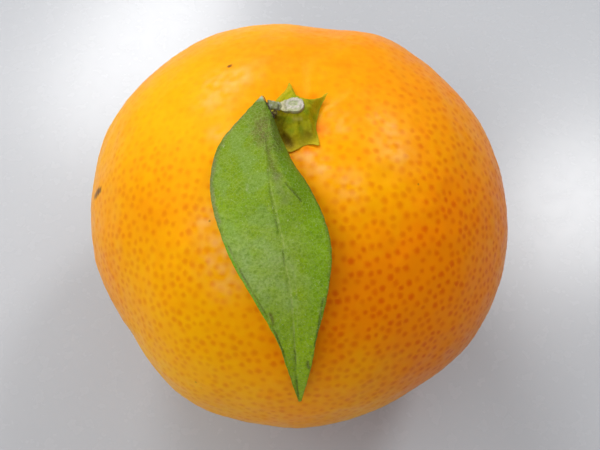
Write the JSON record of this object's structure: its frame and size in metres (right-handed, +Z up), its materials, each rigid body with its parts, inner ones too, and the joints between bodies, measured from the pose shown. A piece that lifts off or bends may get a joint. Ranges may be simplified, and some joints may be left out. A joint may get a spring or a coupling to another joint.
{
  "type": "mandarin",
  "caption": "Whole ripe mandarin resting on its blossom end, with pitted orange rind, green star calyx, cut stub of twig and a leaf bent over the rind.",
  "frame": {"origin": "middle of the flat ring round the blossom end, on the surface that the fruit stands on, below the middle of the whole outline", "axes": "+Z up the core from the blossom end to the stem end; the leaf hangs over the rind towards -Y, and the twig's knob and petiole point to -X"},
  "size_m": [0.0597, 0.0593, 0.0527],
  "materials": {
    "rind": "satin",
    "calyx": "matte",
    "twig": "matte",
    "petiole": "matte",
    "leaf": "satin"
  },
  "bodies": {
    "root": {"fruit": "rind", "calyx": "calyx", "stem_stub": "twig", "petiole": "petiole", "leaf_blade": "leaf"}
  },
  "joints": []
}
